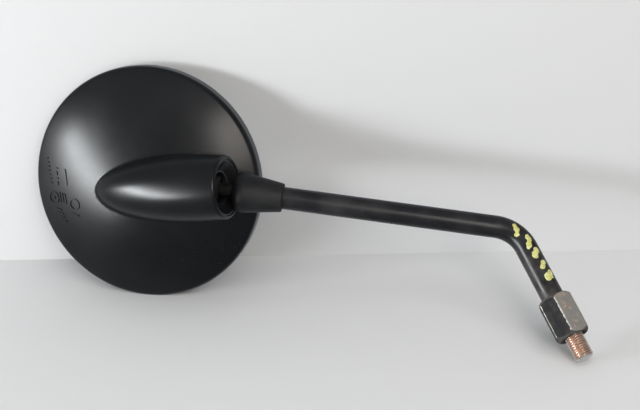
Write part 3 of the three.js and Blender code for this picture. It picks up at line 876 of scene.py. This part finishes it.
STEM_RADIUS, STEM_BORE = 6.0, 4.3
STEM_CORNER, STEM_FOOT, BEND_RADIUS = 64.6, 17.6, 20.0
STEM_TOP = 18.0
BALL_RADIUS, BALL_NECK = 7.0, 3.6

leg = stem_end.axes[2]
bend = math.acos(leg[2])
tangent = BEND_RADIUS * math.tan(bend / 2)
leg_length = float(np.linalg.norm(ball - STEM_CORNER * Z))
upright_length = STEM_CORNER - tangent - STEM_FOOT


def stem_station(s):
    """The tube's centre and its sideways direction in the bend's plane, s millimetres from its foot."""
    if s < upright_length:
        return (STEM_FOOT + s) * Z, X
    lean = min((s - upright_length) / BEND_RADIUS, bend)
    inward = np.array([math.cos(lean), 0, -math.sin(lean)])
    centre = np.array([BEND_RADIUS, 0, STEM_CORNER - tangent]) - BEND_RADIUS * inward
    past = s - upright_length - BEND_RADIUS * bend
    return centre + max(past, 0) * leg, inward


def on_stem(s, angle, radius):
    """A point at a station, an angle round the tube and a distance from its centre line."""
    centre, side = stem_station(s)
    return centre + radius * (math.cos(angle) * side + math.sin(angle) * Y)


def stem_tube():
    length = upright_length + BEND_RADIUS * bend + leg_length - tangent - STEM_TOP
    bend_end = upright_length + BEND_RADIUS * bend
    chamfer = 0.3
    foot = np.linspace(chamfer, upright_length, 12)
    bent = np.linspace(upright_length, bend_end, 40)[1:]
    stops = np.concatenate([foot, bent, np.linspace(bend_end, length - chamfer, 40)[1:]])
    angles = around(64)
    outside, inside = [(s, STEM_RADIUS) for s in stops], [(s, STEM_BORE) for s in stops[::-1]]
    profile = [(0, STEM_RADIUS - chamfer), *outside, (length, STEM_RADIUS - chamfer),
               (length, STEM_BORE + 0.2), *inside, (0, STEM_BORE + 0.2)]
    rings = [np.array([on_stem(s, a, r) for a in angles]) for s, r in profile]
    return skin("stem_tube_fine", rings, stud, True, 25)


def ball_stud():
    neck_angle = math.degrees(math.asin(BALL_NECK / BALL_RADIUS))
    shoulder, plug = STEM_TOP - 0.3, STEM_BORE - 0.3
    neck = rounded(
        [(BALL_NECK, -BALL_RADIUS - 0.5), (BALL_NECK, -shoulder + 3.5), (STEM_RADIUS - 0.4, -shoulder + 1.2),
         (STEM_RADIUS - 0.4, -shoulder), (plug, -shoulder), (plug, -36), (0, -36)],
        [0, 0.8, 0.3, 0.2, 0, 0.5, 0], closed=False)
    sphere = [(0, BALL_RADIUS), *arc(0, 0, BALL_RADIUS, 86, -90 + neck_angle, 32)]
    return lathe("ball_stud_fine", [*sphere, *neck], stem_end, 96)


def ball_cap():
    inner, outer, low = 7.3, 8.4, -40
    rim, turn = (inner + outer) / 2, math.radians(low)
    edge = arc(rim * math.cos(turn), rim * math.sin(turn), (outer - inner) / 2, low, low - 180, 6)
    outline = [(0, outer), *arc(0, 0, outer, 86, low, 24), *edge[1:-1],
               *arc(0, 0, inner, low, 86, 24), (0, inner)]
    return lathe("ball_cap_fine", outline, stem_end, 96)


def stem_boot():
    """A tapered rubber sleeve: a round shoulder with a hole for the stem, and a narrow end that grips it."""
    start, end, wide, narrow, shoulder, wall, grip, hole = 13.0, 40.0, 10.9, 7.6, 6.0, 2.0, 6.25, 6.6
    middle, shoulder_at, inner, hollow_end = wide - shoulder, start + shoulder, shoulder - wall, start + 17
    waist = wide + (narrow - wide) * (hollow_end - shoulder_at) / (end - shoulder_at)
    outer_turn, inner_turn = (-math.degrees(math.acos((hole - middle) / r)) for r in (shoulder, inner))
    sleeve = [(wide, shoulder_at), (narrow, end), (grip, end), (grip, hollow_end),
              (waist - wall - 0.4, hollow_end - 2), (wide - wall, shoulder_at)]
    outline = [*arc(middle, shoulder_at, shoulder, outer_turn, 0, 18)[:-1],
               *rounded(sleeve, [0, 0.9, 0.2, 0.3, 0.5, 0], 8, closed=False),
               *arc(middle, shoulder_at, inner, 0, inner_turn, 12)[1:]]
    return lathe("stem_boot_fine", [(r, -s) for r, s in outline], stem_end, 128)


# ---- nut and threaded stud

THREAD_RADIUS, THREAD_PITCH, THREAD_DEPTH, STUD_END = 4.95, 1.25, 0.72, -12.0
NUT_FLATS, NUT_HEIGHT, NUT_END_RADIUS, NUT_BORE = 17.0, 23.0, 7.5, 5.25
NUT_SHELF, NUT_COUNTERBORE = 17.0, 6.3
SEAL_GROOVE, SEAL_MIDDLE, SEAL_HALF = 7.35, 20.1, 1.1

# The nut's flats face these ways: the CAD nut's corners give its angle.
nut_corners = corners_of("lock_nut")
outermost = nut_corners[np.argmax(np.hypot(nut_corners[:, 0], nut_corners[:, 1]))]
nut_angle = math.atan2(outermost[1], outermost[0]) % (math.pi / 3) + math.pi / 6
nut_axes = (np.array([math.cos(nut_angle), math.sin(nut_angle), 0]),
            np.array([-math.sin(nut_angle), math.cos(nut_angle), 0]), Z)
FLAT_NORMALS = [(math.cos(a), math.sin(a)) for a in np.radians([0, 60, 120])]
NUT_WORN_SIDE = (math.cos(math.radians(60)), math.sin(math.radians(60)))
nut_place = Place((0, 0, 0), *nut_axes)


def nut_field(p):
    """A hexagon with a cone trimmed off each end, bored, counterbored and grooved for its seal."""
    r, z = np.hypot(p[:, 0], p[:, 1]), p[:, 2]
    body = np.full(len(p), -NUT_FLATS)
    for nx, ny in FLAT_NORMALS:
        body = round_overlap(body, np.abs(p[:, 0] * nx + p[:, 1] * ny) - NUT_FLATS / 2, 0.3)
    middle = np.abs(z - NUT_HEIGHT / 2) - NUT_HEIGHT / 2
    body = round_overlap(body, (r - NUT_END_RADIUS + middle) / math.sqrt(2), 0.25)
    body = round_overlap(body, middle, 0.3)
    bore = np.minimum(r - NUT_BORE, (r + z - NUT_BORE - 0.8) / math.sqrt(2))
    bore = np.minimum(bore, np.maximum(r - NUT_COUNTERBORE, NUT_SHELF - z))
    bore = np.minimum(bore, np.maximum(r - SEAL_GROOVE, np.abs(z - SEAL_MIDDLE) - SEAL_HALF))
    return round_overlap(body, -bore, 0.2)


def lock_nut():
    low, high, step = (-10.4, -10.4, -0.6), (10.4, 10.4, 23.7), 0.3
    points, faces = surface_nets(nut_field, low, high, step)
    nut = new_object("lock_nut_fine", points, faces, nut_place)
    follow_field(nut, nut_field, nut_place)
    return nut


def threaded_stud():
    """The thread as a wavy rod with chamfered ends, and the plain plug above it inside the tube."""
    shoulder, plug, plug_top, row_height = STEM_FOOT - 0.3, STEM_BORE - 0.3, 44.0, THREAD_PITCH / 14
    angles = around(96)
    heights = np.arange(STUD_END, shoulder - 0.4, row_height)
    profile_at, cuts = [0, 0.14, 0.5, 0.60, 0.96, 1], [0, 0, 1, 1, 0, 0]
    rings = []
    for z in heights:
        phase = (z / THREAD_PITCH - angles / (2 * math.pi)) % 1
        smooth = np.interp(phase, profile_at, cuts)
        r = THREAD_RADIUS - THREAD_DEPTH * (smooth ** 2 * (3 - 2 * smooth) * 0.5 + smooth * 0.5)
        r = np.minimum(r, THREAD_RADIUS - 1.05 + (z - STUD_END) * 1.1)
        r = np.minimum(r, plug + 0.1 + max(shoulder - 0.9 - z, 0) * 2)
        rings.append(np.stack([r * np.cos(angles), r * np.sin(angles), np.full(len(angles), z)], -1))
    circle = np.stack([np.cos(angles), np.sin(angles), 0 * angles], -1)
    tip = [circle * 0.05 + STUD_END * Z, circle * (THREAD_RADIUS - 1.35) + STUD_END * Z]
    top = [circle * plug + (shoulder - 0.3) * Z, circle * plug + (plug_top - 0.4) * Z,
           circle * (plug - 0.4) + plug_top * Z, circle * 0.05 + plug_top * Z]
    return skin("threaded_stud_fine", tip + rings[1:] + top, stud, False, 50)


# ---- paint dabs

# Blots of marker paint: a short path for each, in stations along the stem (millimetres) and angles round
# it (degrees), and half its width.
PAINT_DABS = [
    ([(47.4, 104), (45.0, 90), (43.4, 70)], 1.25),
    ([(39.0, 108), (36.2, 98), (33.8, 82)], 1.35),
    ([(31.0, 110), (28.2, 92)], 1.65),
    ([(23.4, 116), (21.2, 96)], 1.35),
    ([(16.8, 120), (14.8, 100)], 2.1),
]
DAB_THICKNESS = 0.12
DAB_SECTION = [(-1, -0.1), (1, -0.1), (0.97, 0.4), (0.7, 0.85), (0, 1), (-0.7, 0.85), (-0.97, 0.4)]


def paint_dab(number, path, width):
    """A thin domed blot with an uneven outline that lies on the tube."""
    path = np.array([(s, math.radians(a) * STEM_RADIUS) for s, a in path])
    steps = np.linspace(0, len(path) - 1, 12 * (len(path) - 1) + 1)
    line = np.stack([np.interp(steps, range(len(path)), path[:, i]) for i in (0, 1)], -1)
    ahead = np.gradient(line, axis=0)
    ahead /= np.linalg.norm(ahead, axis=1)[:, None]
    aside = np.stack([-ahead[:, 1], ahead[:, 0]], -1)
    ends = (0.97, 0.8, 0.45)
    rows = [(line[0] - ahead[0] * width * k, aside[0], math.sqrt(1 - k * k)) for k in ends]
    rows += [(p, b, 1.0) for p, b in zip(line, aside)]
    rows += [(line[-1] + ahead[-1] * width * k, aside[-1], math.sqrt(1 - k * k)) for k in ends[::-1]]
    rings = []
    for i, (centre, across, wide) in enumerate(rows):
        left = 1 + 0.22 * math.sin(0.45 * i + 2.0 * number) + 0.08 * math.sin(1.0 * i + number)
        right = 1 + 0.22 * math.sin(0.4 * i + 3.1 * number) + 0.08 * math.sin(0.9 * i + 4 * number)
        section = []
        for offset, lift in DAB_SECTION:
            s, around = centre + across * width * wide * offset * (right if offset > 0 else left)
            section.append(on_stem(s, around / STEM_RADIUS, STEM_RADIUS + DAB_THICKNESS * lift))
        rings.append(np.array(section))
    dab = skin(f"paint_dab_{number}", rings, stud, False, 60)
    flip_if_inside_out(dab)
    return dab


def flip_if_inside_out(shape):
    mesh = shape.data
    mesh.calc_loop_triangles()
    volume = 0
    for triangle in mesh.loop_triangles:
        a, b, c = (mesh.vertices[i].co for i in triangle.vertices)
        volume += a.dot(b.cross(c))
    if volume < 0:
        mesh.flip_normals()


# ---- assembly

def coat(shape, material):
    shape.data.materials.clear()
    shape.data.materials.append(material)


def dress(shape, body, slot, material, *nodes):
    """Puts a finished piece on its body in place of the CAD nodes that it stands for."""
    coat(shape, material)
    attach(shape, body)
    if nodes:
        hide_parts(*nodes)
    return shape


plastic, rubber, paint, steel = shell_plastic(), boot_rubber(), stem_paint(), bare_steel()
black_nylon, channel_rubber, marker = nylon(), gasket_rubber(), yellow_paint()

dress(mirror_housing(), "head", "shell_plastic", plastic, "mirror_housing")
dress(mirror_glass(), "head", "mirror_face", mirror_face(), "mirror_glass")
dress(glass_gasket(), "head", "gasket_rubber", channel_rubber, "glass_gasket")
pad = dress(foam_pad(), "head", "foam", foam(), "foam_pad")
dress(front_seat_ring(), "head", "nylon", black_nylon, "front_seat_ring")
dress(stem_tube(), "stem", "stem_paint", paint, "stem_tube")
dress(ball_stud(), "stem", "black_steel", black_steel(), "ball_stud")
dress(threaded_stud(), "stem", "stud_steel", stud_steel(), "threaded_stud")
dress(ball_cap(), "cap", "nylon", black_nylon, "ball_cap")
dress(stem_boot(), "boot", "boot_rubber", rubber, "stem_boot")
dress(lock_nut(), "nut", "nut_paint", nut_paint(), "lock_nut")
for number, (path, width) in enumerate(PAINT_DABS, 1):
    dress(paint_dab(number, path, width), "stem", "stem_paint", marker)

# Inner CAD nodes keep their shapes and get the same finishes.
carried_over = {
    "backing_plate": backing_card(), "nut_seal_ring": channel_rubber, "rear_seat_cup": black_nylon,
}
for node in frame["nodes"].values():
    if not node.hide_render:
        coat(node, carried_over.get(node.name, steel))


# ---- stage and light

# The mirror lies on a tilted board and leans on a second one, as on a photographer's table.
STAGE_POINT = (36.4, -77.3, 100.3)
STAGE_REACH = 1000
FLOOR_NORMAL = (-0.1532, 0.8064, 0.5711)
WALL_NORMAL = (0.3811, 0.5814, -0.7188)


def stage_material():
    """Pale matt board, seen only from its front."""
    f = Finish("stage_board", (0.6, 0.6, 0.6), 0.85)
    f.color(f.mix(f.noise(0.4, 2), (0.58, 0.585, 0.59), (0.62, 0.62, 0.62)))
    nodes, links = f.tree.nodes, f.tree.links
    kinds = ("ShaderNodeMixShader", "ShaderNodeBsdfTransparent", "ShaderNodeNewGeometry")
    mixer, clear, geometry = (nodes.new(kind) for kind in kinds)
    links.new(geometry.outputs["Backfacing"], mixer.inputs[0])
    links.new(f.shader.outputs[0], mixer.inputs[1])
    links.new(clear.outputs[0], mixer.inputs[2])
    links.new(mixer.outputs[0], nodes["Material Output"].inputs["Surface"])
    return f.material


def board(name, normal, material):
    corners = [(x * STAGE_REACH, y * STAGE_REACH, 0) for x, y in ((-1, -1), (1, -1), (1, 1), (-1, 1))]
    sheet = new_object(name, corners, [(0, 1, 2, 3)], place_along(STAGE_POINT, normal))
    coat(sheet, material)
    sheet.visible_glossy = False


def soft_light(name, direction, distance, size, power, color=(1, 1, 1), glossy=True):
    """A softbox that faces the head; direction is (right, up, towards the camera)."""
    data = bpy.data.lights.new(name, "AREA")
    data.shape = "RECTANGLE"
    data.size, data.size_y = size
    data.energy = power
    data.color = color
    light = bpy.data.objects.new(name, data)
    away = unit(direction[0] * camera_right + direction[1] * camera_up + direction[2] * camera_back)
    light.location = head.origin * MM + away * distance
    light.rotation_mode = "QUATERNION"
    light.rotation_quaternion = Vector(away).to_track_quat("Z", "Y")
    light.visible_camera = False
    light.visible_glossy = glossy
    bpy.context.scene.collection.objects.link(light)


def world_light():
    """Plain pale backdrop; for light and reflections, a dim room that is brighter behind the boards."""
    world = bpy.data.worlds.new("studio")
    world.use_nodes = True
    nodes, links = world.node_tree.nodes, world.node_tree.links
    room = nodes["Background"]
    room.inputs["Color"].default_value = (0.9, 0.95, 1.0, 1)
    direction = nodes.new("ShaderNodeTexCoord").outputs["Generated"]
    facing, fade = nodes.new("ShaderNodeVectorMath"), nodes.new("ShaderNodeMapRange")
    facing.operation = "DOT_PRODUCT"
    facing.inputs[1].default_value = tuple(camera_back)
    fade.interpolation_type = "SMOOTHSTEP"
    for socket, value in zip(fade.inputs[1:], (-0.75, 0.0, 0.50, 0.09)):
        socket.default_value = value
    links.new(direction, facing.inputs[0])
    links.new(facing.outputs["Value"], fade.inputs[0])
    links.new(fade.outputs[0], room.inputs["Strength"])
    backdrop = nodes.new("ShaderNodeBackground")
    backdrop.inputs["Color"].default_value = (0.80, 0.81, 0.82, 1)
    mixer, path = nodes.new("ShaderNodeMixShader"), nodes.new("ShaderNodeLightPath")
    links.new(path.outputs["Is Camera Ray"], mixer.inputs[0])
    links.new(room.outputs[0], mixer.inputs[1])
    links.new(backdrop.outputs[0], mixer.inputs[2])
    links.new(mixer.outputs[0], nodes["World Output"].inputs["Surface"])
    bpy.context.scene.world = world


board_finish = stage_material()
board("stage_floor", FLOOR_NORMAL, board_finish)
board("stage_wall", WALL_NORMAL, board_finish)
world_light()
soft_light("window", (-0.875, -0.20, 0.45), 1.3, (0.22, 0.95), 22, (0.95, 0.98, 1.0))
soft_light("overhead", (0.25, 0.55, 0.80), 1.9, (2.2, 2.2), 30, glossy=False)
soft_light("room_fill", (0.34, 0.05, 0.94), 1.6, (0.5, 0.8), 7, (1.0, 0.94, 0.88))
bpy.context.scene.view_settings.view_transform = "Standard"
